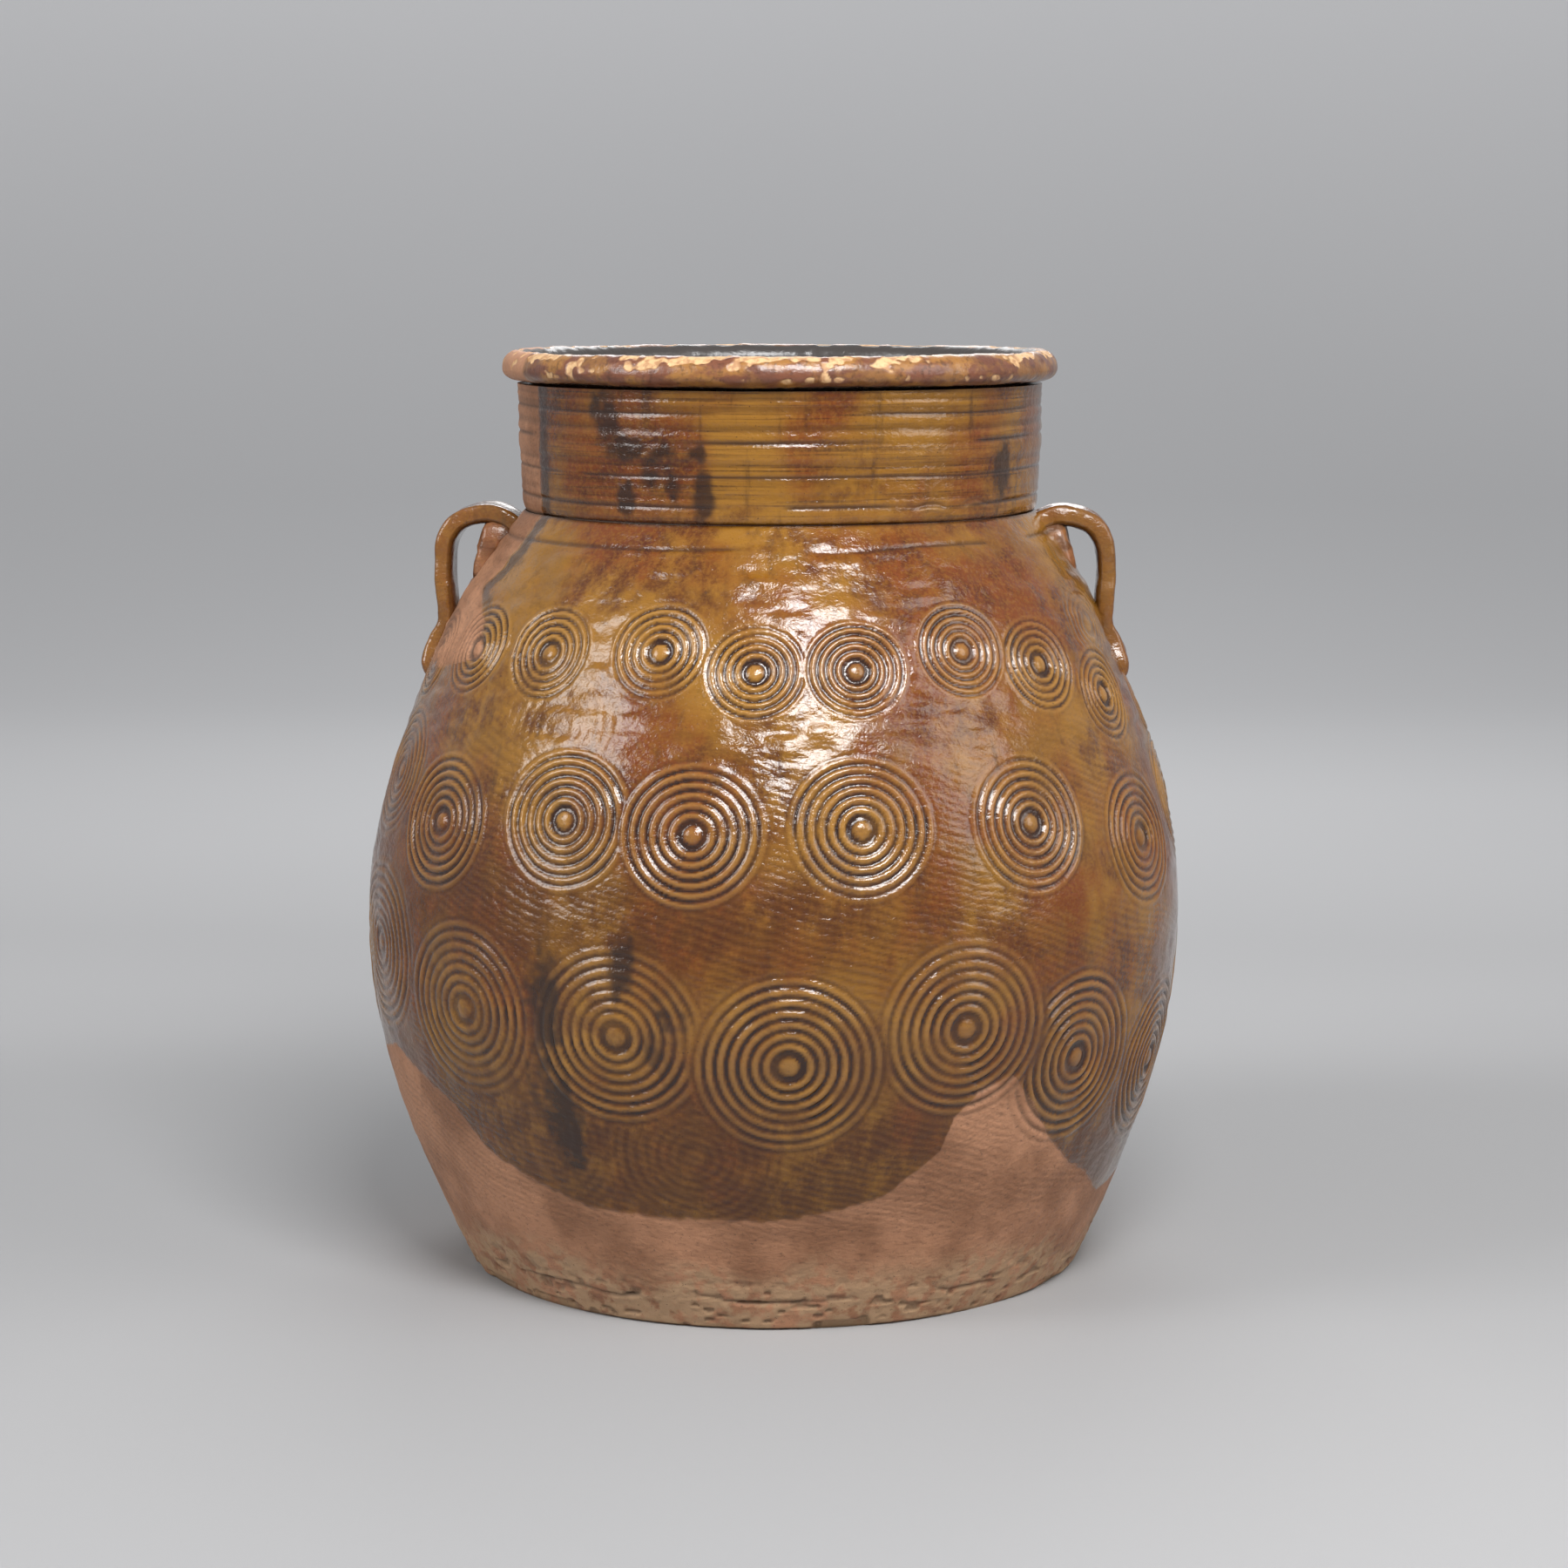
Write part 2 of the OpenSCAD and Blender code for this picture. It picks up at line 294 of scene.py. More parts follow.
def press_stamps(angles, z, fields):
    """Presses the stamps into the fields one after another, so that later ones cover earlier."""
    radius = outer_radius(z)
    along = arc_length(z)
    rows = ((LOWER_ROW, LOWER_STAMP), (TOP_ROW, TOP_STAMP), (MIDDLE_ROW, MIDDLE_STAMP))
    patchy = cloud(around(angles, radius, z), 9.0, 27)
    presses = [(place, style) for row, style in rows for place in row]
    for number, ((angle, height, depth), style) in enumerate(presses):
        reach = style[-1]
        across = np.radians(away(angles, angle)) * radius
        up = along - arc_length(height)
        near = (np.abs(across) < reach) & (np.abs(up) < reach)
        if not near.any():
            continue
        mark, cover = stamp_mark(across[near], up[near], depth, style, number, patchy[near])
        for name, value in mark.items():
            fields[name][near] = fields[name][near] * (1.0 - cover) + value * cover
        fields["cover"][near] = np.maximum(fields["cover"][near], cover)


def dark_stain(angles, z, points, past_strip):
    """Dark glaze in a band beside the bare strip, and in the torn runs."""
    stain = band(-5.5, -3.5, -1.2, -0.2, past_strip) * ramp(288.0, 300.0, z) * 0.85
    radius = outer_radius(z)
    torn = 0.34 * cloud(points, (8.0, 8.0, 18.0), 24) + 0.2 * cloud(points, 3.0, 25)
    for angle, height, wide, high in DARK_RUNS:
        x = np.radians(away(angles, angle)) * radius / wide
        y = (z - height) / high
        spot = np.exp(-(x * x + y * y) * 0.7)
        run = ramp(0.25, 0.95, spot + torn * ramp(0.05, 0.4, spot))
        stain = np.maximum(stain, run)
    return stain


def deep_glaze(angles, z, points):
    """Where the glaze is deepest in colour: low on the body, and in the dark patch."""
    low = 1.0 - ramp(85.0, 180.0, z + 16.0 * cloud(points, 40.0, 26))
    aside = np.abs(away(angles, DARK_PATCH_ANGLE) + 10.0 * cloud(points, 24.0, 28))
    patch = ramp(-70.0, -20.0, -aside) * soft_line(z, DARK_PATCH_HEIGHT, 30.0) * 0.9
    return np.maximum(low, patch)


def glaze_fields(angles, z, points):
    """Fields with no relief yet, and with bare clay, dark glaze and the buff foot in place."""
    fields = {name: np.zeros(angles.shape) for name in ("height", "groove", "thin_glaze_and_highlight")}
    edge = np.interp(angles, GLAZE_EDGE_ANGLES, GLAZE_EDGE_HEIGHTS, period=360.0)
    ragged = 1.3 * cloud(points, 26.0, 21) + 0.5 * cloud(points, 3.0, 22)
    below = ramp(-1.3, 1.3, edge + ragged - z)
    strip_edge = np.interp(z, STRIP_HEIGHTS, STRIP_EDGES) + ragged * 0.5
    past_strip = -away(angles, strip_edge)
    strip = band(-0.4, 0.6, STRIP_WIDTH, STRIP_WIDTH + 2.0, past_strip)
    strip *= ramp(264.0, 268.0, z + ragged * 1.5)
    fields["bare"] = np.maximum(below, strip)
    fields["foot"] = 1.0 - ramp(14.0, 34.0, z + 7.0 * cloud(points, 22.0, 23))
    fields["stain"] = dark_stain(angles, z, points, past_strip) * (1.0 - fields["bare"])
    fields["deep"] = deep_glaze(angles, z, points)
    return fields


def paddle_marks(angles, z, points, free, fields):
    """Fine slanting ridges from a carved paddle, stronger low on the body."""
    phase = arc_length(z) / PADDLE_PITCH + PADDLE_TURNS * angles / 360.0
    phase += 0.9 * cloud(points, 55.0, 31)
    phase += 0.22 * cloud(points, 10.0, 30)
    ridges = np.cos(phase * 2.0 * math.pi)
    beaten = ramp(-0.45, 0.6, cloud(points, 38.0, 32) + 0.25)
    beaten *= ramp(34.0, 60.0, z) * (1.0 - 0.75 * ramp(225.0, 260.0, z))
    beaten *= 1.0 - ramp(NECK_SEAM - 40.0, NECK_SEAM - 14.0, z)
    fields["height"] += 0.13 * ridges * beaten * free
    # The paddle's grooves are painted darker and its ridges lighter: pooled and thinned glaze, with
    # painted shade and highlight.
    fields["groove"] += 0.34 * np.clip(-ridges, 0.0, 1.0) * beaten * free
    fields["thin_glaze_and_highlight"] += 0.16 * np.clip(ridges, 0.0, 1.0) * beaten * free


def uneven_wall(angles, z, points, free, fields):
    """Walls that aren't true, a lopsided belly, and short dents that run round the shoulder."""
    fields["height"] += 0.7 * cloud(points, 46.0, 33) + 0.14 * cloud(points, 7.0, 34)
    dents = cloud(points, (13.0, 13.0, 3.6), 35)
    on_shoulder = band(215.0, 255.0, 318.0, 328.0, z)
    fields["height"] += (0.1 + 0.3 * on_shoulder) * dents * free * ramp(40.0, 60.0, z)
    lopsided = np.sin(np.radians(angles)) * (z - LOPSIDED_HEIGHT) / 60.0
    lopsided *= soft_line(z, LOPSIDED_HEIGHT, 90.0)
    fields["height"] += LOPSIDED_DEPTH * lopsided


def body_lines(z, points, fields):
    """The line scored round the shoulder, the neck's seam and the crack over the base slab."""
    scored = NECK_SEAM - SCORED_BELOW + 0.7 * cloud(points, 40.0, 36)
    line = soft_line(z, scored, 0.75) * ramp(-0.5, 0.2, cloud(points, 30.0, 37) + 0.3)
    seam = soft_line(z, NECK_SEAM, SEAM_WIDTH)
    cracked = ramp(-0.1, 0.35, cloud(points, (30.0, 30.0, 80.0), 38))
    crack_height = SLAB_TOP + 1.2 * cloud(points, 12.0, 39)
    crack = soft_line(z, crack_height, 0.8) * cracked
    fields["height"] -= 0.5 * line + 0.5 * seam + 0.9 * crack
    # The three are painted darker too: pooled glaze in the glazed lines, and painted shade.
    fields["groove"] += 0.75 * line + 0.9 * seam + 0.7 * crack


def foot_pits(z, points, fields):
    """Pits where grit was dragged out of the clay near the foot, and a grain on the bare clay."""
    pitted = cloud(points, (5.0, 5.0, 2.2), 40) + 0.35 * cloud(points, 18.0, 41)
    pits = ramp(0.6, 0.95, pitted) * (1.0 - ramp(12.0, 28.0, z))
    fields["height"] -= 0.9 * pits
    # The pits are painted darker: painted shade.
    fields["groove"] += 0.5 * pits
    grain = 0.16 * cloud(points, 2.6, 42) * fields["bare"] * (1.0 - ramp(18.0, 40.0, z))
    fields["height"] += grain


def body_relief(angles, z):
    """The relief on the body's smooth profile, with its paint fields."""
    points = around(angles, outer_radius(z), z)
    fields = glaze_fields(angles, z, points)
    fields["cover"] = np.zeros(angles.shape)
    press_stamps(angles, z, fields)
    free = 1.0 - 0.85 * fields["cover"]
    paddle_marks(angles, z, points, free, fields)
    uneven_wall(angles, z, points, free, fields)
    body_lines(z, points, fields)
    foot_pits(z, points, fields)
    return fields


def neck_relief(angles, z):
    """Throwing lines, the seam at the root and a few gouges on the neck; hollows are painted darker
    and rises lighter, as pooled and thinned glaze and as painted shade and highlight.
    """
    points = around(angles, outer_radius(z), z)
    fields = glaze_fields(angles, z, points)
    wander = z + 0.9 * cloud(points, (70.0, 70.0, 300.0), 51)
    ring_noise = np.random.default_rng(52).random(RING_NOISES) * 2.0 - 1.0
    steps = np.arange(RING_NOISES)
    fine = np.interp(wander / 1.5, steps, ring_noise, period=RING_NOISES)
    broad = np.interp(wander / 5.0 + 40.0, steps, ring_noise, period=RING_NOISES)
    fields["height"] += 0.16 * fine + 0.34 * broad + 0.35 * cloud(points, 40.0, 53)
    fields["groove"] += 0.5 * np.clip(-fine, 0.0, 1.0) * np.clip(0.6 - broad, 0.0, 1.0)
    fields["thin_glaze_and_highlight"] += 0.35 * np.clip(broad + fine * 0.4, 0.0, 1.0)
    for height, width, depth in NECK_LINES:
        broken = ramp(-0.5, 0.15, cloud(points, (30.0, 30.0, 60.0), int(height)))
        line = soft_line(wander, height, width) * broken
        fields["height"] -= depth * line
        fields["groove"] += 0.85 * line
    seam = soft_line(z, NECK_SEAM, SEAM_WIDTH)
    fields["height"] -= 0.5 * seam
    fields["groove"] += seam
    for angle, height in NECK_GOUGES:
        x = np.radians(away(angles, angle)) * NECK_ROOT[1]
        bow = z - height + 0.02 * x * x
        length = soft_line(x, 0.0, GOUGE_HALF, 4)
        gouge = length * soft_line(bow, 0.0, 1.0)
        burr = length * soft_line(bow, -1.9, 0.8)
        fields["height"] += 0.5 * burr - 0.7 * gouge
        fields["thin_glaze_and_highlight"] += 0.7 * burr
        fields["groove"] += 0.3 * gouge
    return fields


def lip_relief(angles, z, radius):
    """Uneven clay, and glaze that has flaked from the crest of the lip."""
    points = around(angles, radius, z)
    fields = glaze_fields(angles, z, points)
    large = sum(soft_line(away(angles, angle), 0.0, half, 4) for angle, half in LARGE_FLAKES)
    worn = 0.55 * cloud(points, (9.0, 9.0, 5.0), 61) + 0.3 * cloud(points, 3.0, 62)
    top = ramp(394.5, 399.0, z) * ramp(110.5, 113.0, radius)
    worn = worn + 0.42 * top + 0.45 * large * ramp(390.0, 396.0, z) - 0.1
    flaked = ramp(0.42, 0.52, worn)
    fields["flake"] = flaked * ramp(387.0, 391.0, z) * ramp(110.0, 112.0, radius)
    fields["inner"] = 1.0 - ramp(111.2, 112.6, radius + 0.9 * cloud(points, 5.0, 66))
    uneven = 0.3 * cloud(points, 26.0, 63) + 0.12 * cloud(points, 4.0, 64)
    fields["height"] += uneven - 0.35 * fields["flake"]
    # The roll's underside, low against the neck, is painted dark: painted shade under the roll.
    fields["groove"] += (1.0 - ramp(384.0, 387.5, z)) * (radius > 113.0)
    blotches = ramp(0.0, 0.5, cloud(points, (16.0, 16.0, 7.0), 65)) * 0.6
    fields["stain"] = np.maximum(fields["stain"], blotches)
    return fields


PAINT_FIELDS = ("bare", "groove", "thin_glaze_and_highlight", "stain", "foot", "flake", "deep", "inner")


def set_fields(mesh, fields):
    """Stores the paint fields on the mesh's points; points past the outer skin get none."""
    for name in PAINT_FIELDS:
        values = np.zeros(len(mesh.vertices))
        if name in fields:
            flat = np.clip(fields[name], 0.0, 1.0).ravel()
            values[: flat.size] = flat
        attribute = mesh.attributes.new(name, "FLOAT", "POINT")
        attribute.data.foreach_set("value", values)


def make_piece(
    name, node, points, faces, corner_uv, materials, fields, inside=None, sharp_rows=(),
):
    """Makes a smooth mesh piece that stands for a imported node; inside marks its second material."""
    mesh = bpy.data.meshes.new(name)
    mesh.vertices.add(len(points))
    mesh.vertices.foreach_set("co", (points * MM).ravel())
    sizes = np.concatenate([np.full(len(group), group.shape[1]) for group in faces])
    corners = np.concatenate([group.ravel() for group in faces])
    mesh.loops.add(len(corners))
    mesh.loops.foreach_set("vertex_index", corners)
    mesh.polygons.add(len(sizes))
    mesh.polygons.foreach_set("loop_start", np.concatenate(([0], np.cumsum(sizes)[:-1])))
    mesh.update(calc_edges=True)
    mesh.shade_smooth()
    uv_layer = mesh.uv_layers.new(name="OFBake")
    uv_layer.data.foreach_set("uv", corner_uv.ravel())
    for material in materials:
        mesh.materials.append(material)
    set_fields(mesh, fields)
    if inside is not None:
        mesh.polygons.foreach_set("material_index", inside)
    if len(sharp_rows):
        ends = np.empty(len(mesh.edges) * 2, dtype=int)
        mesh.edges.foreach_get("vertices", ends)
        rows = ends.reshape(-1, 2) // COLUMNS
        sharp = (rows[:, 0] == rows[:, 1]) & np.isin(rows[:, 0], sharp_rows)
        mesh.edges.foreach_set("use_edge_sharp", sharp)
    piece = bpy.data.objects.new(name, mesh)
    bpy.context.scene.collection.objects.link(piece)
    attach(piece, "root")
    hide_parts(node)


def ring_faces(rows, columns, closed):
    """Quads for a stack of rings, each with its ring and column; closed joins last to first."""
    spans = rows if closed else rows - 1
    i, j = np.meshgrid(np.arange(spans), np.arange(columns), indexing="ij")
    i = i.ravel()
    j = j.ravel()
    here = i * columns
    above = (i + 1) % rows * columns
    beside = (j + 1) % columns
    return np.stack((here + j, here + beside, above + beside, above + j), axis=1), i, j


def ring_uv(lengths, i, j, columns, low=0.0, high=1.0):
    """A map position for each quad corner: round the ring, and along the profile."""
    v = low + (high - low) * lengths / lengths[-1]
    u0 = j / columns
    u1 = (j + 1) / columns
    pairs = ((u0, v[i]), (u1, v[i]), (u1, v[i + 1]), (u0, v[i + 1]))
    return np.stack([np.stack(pair, axis=-1) for pair in pairs], axis=1)


def profile_lengths(points, columns, weights=1.0):
    """Weighted distances along the profile at one column, round to the first ring again."""
    line = points.reshape(-1, columns, 3)[:, 0]
    steps = np.linalg.norm(np.diff(np.concatenate((line, line[:1])), axis=0), axis=1)
    return np.concatenate(([0.0], np.cumsum(steps * weights)))


def push_out(angles, z, radius, slope, height):
    """Moves the profile outwards along its own normal."""
    size = np.sqrt(1.0 + slope * slope)
    return around(angles, radius + height / size, z - slope * height / size)


# The inner skin's unevenness, and the share of its length that it gets on the map
INNER_UNEVEN = 0.35
INNER_MAP_SHARE = 0.35


def thrown_ring(name, node, outer, fields, inner, materials):
    """A closed ring of clay with a detailed outer skin and a plainer inner skin."""
    profile = np.array(inner, dtype=float)
    inner_angles = np.broadcast_to(COLUMN_ANGLES, (len(profile), COLUMNS))
    inner_r = np.broadcast_to(profile[:, :1], inner_angles.shape)
    inner_z = np.broadcast_to(profile[:, 1:], inner_angles.shape)
    plain = around(inner_angles, inner_r, inner_z)
    inner_r = inner_r + INNER_UNEVEN * cloud(plain, (40.0, 40.0, 5.0), 71)
    points = np.concatenate((outer, around(inner_angles, inner_r, inner_z)))
    rows = len(points)
    outer_rows = len(outer)
    quads, i, j = ring_faces(rows, COLUMNS, True)
    flat = points.reshape(-1, 3)
    weights = np.where(np.arange(rows) < outer_rows, 1.0, INNER_MAP_SHARE)
    uv = ring_uv(profile_lengths(flat, COLUMNS, weights), i, j, COLUMNS)
    inside = (i >= outer_rows).astype(int)
    sharp_rows = (0, outer_rows - 1, outer_rows, rows - 1)
    make_piece(name, node, flat, [quads], uv, materials, fields, inside, sharp_rows)


def inner_point(z):
    """The inner skin's radius and height behind the outer skin at z."""
    slope = float(slope_at(z))
    size = math.hypot(1.0, slope)
    thick = WALL_THICK - WALL_THINNING * z / NECK_SEAM
    return float(outer_radius(z)) - thick / size, z + slope * thick / size


def wall_piece(name, node, slot, low, high, inner_heights, materials):
    """One coiled stretch of the body's wall."""
    heights = even_heights(low, high, ROW_SPACING)
    angles, z = np.meshgrid(COLUMN_ANGLES, heights)
    fields = body_relief(angles, z)
    outer = push_out(angles, z, outer_radius(z), slope_at(z), fields["height"])
    inner = [inner_point(height) for height in inner_heights]
    thrown_ring(name, node, outer, fields, inner, materials)


def neck_piece(materials):
    """The thrown neck, from its seam on the shoulder to under the lip."""
    heights = np.linspace(NECK_SEAM, NECK_TOP, NECK_ROWS)
    angles, z = np.meshgrid(COLUMN_ANGLES, heights)
    fields = neck_relief(angles, z)
    outer = around(angles, outer_radius(z) + fields["height"], z)
    share = np.linspace(0.0, 1.0, NECK_INNER_ROWS)
    inner_r = BORE_TOP + (BORE_SEAM - BORE_TOP) * share
    inner_z = NECK_TOP + (BORE_END - NECK_TOP) * share
    inner = np.stack((inner_r, inner_z), axis=1)
    thrown_ring("neck", "neck_collar", outer, fields, inner, materials)


def lip_piece(materials):
    """The rolled lip: an oval roll over the neck's rim, flaked along its crest."""
    turn = np.radians(np.linspace(180.0, -90.0, LIP_ROWS))
    out = np.sin(turn)
    up = np.cos(turn)
    roll_r = RIM_RADIUS + np.where(out > 0.0, LIP_OUT, LIP_IN) * out
    roll_z = LIP_HEIGHT + np.where(up > 0.0, LIP_UP, LIP_DOWN) * up
    angles, z = np.meshgrid(COLUMN_ANGLES, roll_z)
    radius = np.broadcast_to(roll_r[:, None], z.shape)
    fields = lip_relief(angles, z, radius)
    lift = fields["height"] - LIP_DRAWN_IN
    outer = around(angles, radius + out[:, None] * lift, z + up[:, None] * lift)
    inner = ((BORE_TOP, BORE_UNDER_LIP), (BORE_TOP, NECK_TOP))
    thrown_ring("lip", "lip_roll", outer, fields, inner, materials)


# The base slab's rings: radii under it and on its floor, and heights up its side
UNDER_RADII = np.concatenate((np.linspace(4.0, 120.0, 20), np.linspace(123.0, 132.0, 7)))
FLOOR_RADII = np.concatenate((np.linspace(131.5, 112.0, 14), np.linspace(108.0, 4.0, 20)))
SIDE_HEIGHTS = np.concatenate(([1.4], even_heights(2.0, SLAB_TOP, 0.8)))

# The floor curls up into the wall past this radius, and has a throwing spiral
CURL_RADIUS = 110.0
CURL_REACH = 21.5
CURL_RISE = 7.0
SPIRAL_PITCH = 14.0

# The slab's first and last ring on the map, and the height of the underside's middle
MAP_LOW = 0.02
MAP_HIGH = 0.98
UNDER_MIDDLE = 0.2


def fan_uv(ring_v, middle_v, backwards):
    """The map of a fan of triangles from a ring to its middle."""
    column = np.arange(COLUMNS)
    u0 = column / COLUMNS
    u1 = (column + 1) / COLUMNS
    pair = (u1, u0) if backwards else (u0, u1)
    corners = [np.stack((u, np.full(COLUMNS, ring_v)), axis=-1) for u in pair]
    corners.append(np.stack(((u0 + u1) / 2, np.full(COLUMNS, middle_v)), axis=-1))
    return np.stack(corners, axis=1).reshape(-1, 2)


def slab_underside():
    """The slab's underside, nearly flat and a little uneven between middle and edge."""
    angles, radius = np.meshgrid(COLUMN_ANGLES, UNDER_RADII)
    lift = 0.25 + 0.25 * cloud(around(angles, radius, 0.0), 11.0, 82)
    lift *= ramp(10.0, 60.0, np.minimum(radius, 134.0 - radius) + 8.0)
    return around(angles, radius, np.clip(lift, 0.0, None))


def slab_side():
    """The slab's chipped side, with its paint fields."""
    angles, z = np.meshgrid(COLUMN_ANGLES, SIDE_HEIGHTS)
    fields = body_relief(angles, z)
    chips = ramp(0.55, 0.8, cloud(around(angles, outer_radius(z), 0.0), 14.0, 81))
    height = fields["height"] - 1.6 * (chips * (z < 4.0))
    return push_out(angles, z, outer_radius(z), slope_at(z), height), fields


def slab_floor():
    """The floor inside, which curls up into the wall and has a throwing spiral."""
    angles, radius = np.meshgrid(COLUMN_ANGLES, FLOOR_RADII)
    climb = np.clip((radius - CURL_RADIUS) / CURL_REACH, 0.0, 1.0)
    height = FLOOR_HEIGHT + CURL_RISE * (1.0 - np.sqrt(1.0 - climb ** 2 * 0.99))
    turns = radius / SPIRAL_PITCH + angles / 360.0
    spiral = 0.3 * np.cos(2.0 * math.pi * turns) * ramp(6.0, 20.0, radius)
    return around(angles, radius, height + spiral)


def slab_piece(materials):
    """The base slab, with its flat underside and the floor that turns up into the wall."""
    under = slab_underside()
    side, fields = slab_side()
    rings = np.concatenate((under, side, slab_floor()))
    rows = len(rings)
    quads, i, j = ring_faces(rows, COLUMNS, False)
    middles = np.array(((0.0, 0.0, UNDER_MIDDLE), (0.0, 0.0, FLOOR_HEIGHT)))
    flat = np.concatenate((rings.reshape(-1, 3), middles))
    column = np.arange(COLUMNS)
    beside = (column + 1) % COLUMNS
    last = (rows - 1) * COLUMNS
    first_middle = np.full(COLUMNS, rows * COLUMNS)
    under_fan = np.stack((beside, column, first_middle), axis=1)
    floor_fan = np.stack((last + column, last + beside, first_middle + 1), axis=1)
    lengths = profile_lengths(flat[:-2], COLUMNS)[:rows]
    uv = np.concatenate((
        ring_uv(lengths, i, j, COLUMNS, MAP_LOW, MAP_HIGH).reshape(-1, 2),
        fan_uv(MAP_LOW, 0.0, True),
        fan_uv(MAP_HIGH, 1.0, False),
    ))
    edge_row = len(under) + len(side) - 1
    on_floor = (i >= edge_row).astype(int)
    inside = np.concatenate((on_floor, np.zeros(COLUMNS, int), np.ones(COLUMNS, int)))
    for name, values in fields.items():
        under_values = np.full(under.shape[:2], 1.0 if name in ("bare", "foot") else 0.0)
        fields[name] = np.concatenate((under_values, values))
    make_piece(
        "slab", "base_slab", flat, [quads, under_fan, floor_fan], uv, materials,
        fields, inside, (edge_row, edge_row + 1),
    )


# The strap handle's centre line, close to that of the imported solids: radius, height, a share
# of its width and a share of its thickness
HANDLE_LINE = (
    (106, 316, 1.15, 1), (114.9, 325.5, 1.1, 1), (125, 329, 1.05, 1), (136.8, 326, 1, 1),
    (143.3, 318, 1, 0.95), (144.8, 305.1, 1, 0.9), (144.2, 293.3, 1, 0.9), (144, 281.4, 0.95, 0.9),
    (147.7, 273, 0.88, 1), (149.8, 264.6, 1.1, 1.15), (148.2, 259, 0.95, 1),
    (143.5, 255.5, 0.5, 0.5),
)
HANDLE_LAST = len(HANDLE_LINE) - 1
STRAP_WIDTH = 24.0
STRAP_THICK = 9.6
STRAP_HOLLOW = 1.7
STRAP_SIDES = 40
STRAP_STEPS = 9

# Above this height the strap's face looks up, and below it outwards
STRAP_CROWN = 318.0

# How strap and wad lie on the map: the top of the sides, and the end faces' height and radius
STRAP_MAP = (0.9, 0.95, 0.04)
WAD_MAP = (0.85, 0.93, 0.06)


def catmull(stations, s):
    """A point on a smooth curve through the stations; s counts them from the first."""
    last = len(stations) - 1
    k = min(int(s), last - 1)
    t = s - k
    p0, p1, p2, p3 = [np.array(stations[min(max(k + n, 0), last)], dtype=float) for n in (-1, 0, 1, 2)]
    curve = 2.0 * p1 + (p2 - p0) * t + (2.0 * p0 - 5.0 * p1 + 4.0 * p2 - p3) * t * t
    return 0.5 * (curve + (3.0 * p1 - p0 - 3.0 * p2 + p3) * t ** 3)


def swollen(points, amount):
    """The rings of points, each point moved away from the middle of its own ring."""
    direction = points - points.mean(axis=1, keepdims=True)
    direction /= np.linalg.norm(direction, axis=2, keepdims=True)
    return points + direction * amount[..., None]


def capped_tube(points, map_shape):
    """The points, faces and map of a tube of rings that has a flat face at each end."""
    rows, sides = points.shape[:2]
    sides_top, cap_height, cap_radius = map_shape
    quads, i, j = ring_faces(rows, sides, False)
    flat = points.reshape(-1, 3)
    lengths = profile_lengths(flat, sides)[:rows]
    uv = ring_uv(lengths, i, j, sides, 0.0, sides_top)
    first_cap = np.arange(sides)[None, :]
    last_cap = (rows - 1) * sides + first_cap
    # The way round that the rings run decides which faces are turned
    middle = rows // 2 * sides
    edge_a = flat[middle + 1] - flat[middle]
    edge_b = flat[middle + sides] - flat[middle]
    outwards = flat[middle] - flat[middle:middle + sides].mean(axis=0)
    if np.dot(np.cross(edge_a, edge_b), outwards) > 0.0:
        first_cap = first_cap[:, ::-1]
    else:
        quads = quads[:, ::-1]
        uv = uv[:, ::-1]
        last_cap = last_cap[:, ::-1]
    turns = np.radians(np.arange(sides) * 360.0 / sides)
    round_cap = cap_radius * np.cos(turns)
    up_cap = cap_height + cap_radius * np.sin(turns)
    caps = [np.stack((place + round_cap, up_cap), axis=-1) for place in (0.25, 0.75)]
    uv = np.concatenate([uv.reshape(-1, 2)] + caps)
    return flat, [quads, first_cap, last_cap], uv


def strap_facing(s, height):
    """The direction, in radius and height, that the strap's face looks at point s of its line."""
    ahead = catmull(HANDLE_LINE, min(s + 0.05, HANDLE_LAST))
    behind = catmull(HANDLE_LINE, max(s - 0.05, 0.0))
    run = ahead[:2] - behind[:2]
    run = run / np.linalg.norm(run)
    out = np.array((-run[1], run[0]))
    checked = out[0] if height < STRAP_CROWN else out[1]
    return -out if checked < 0.0 else out


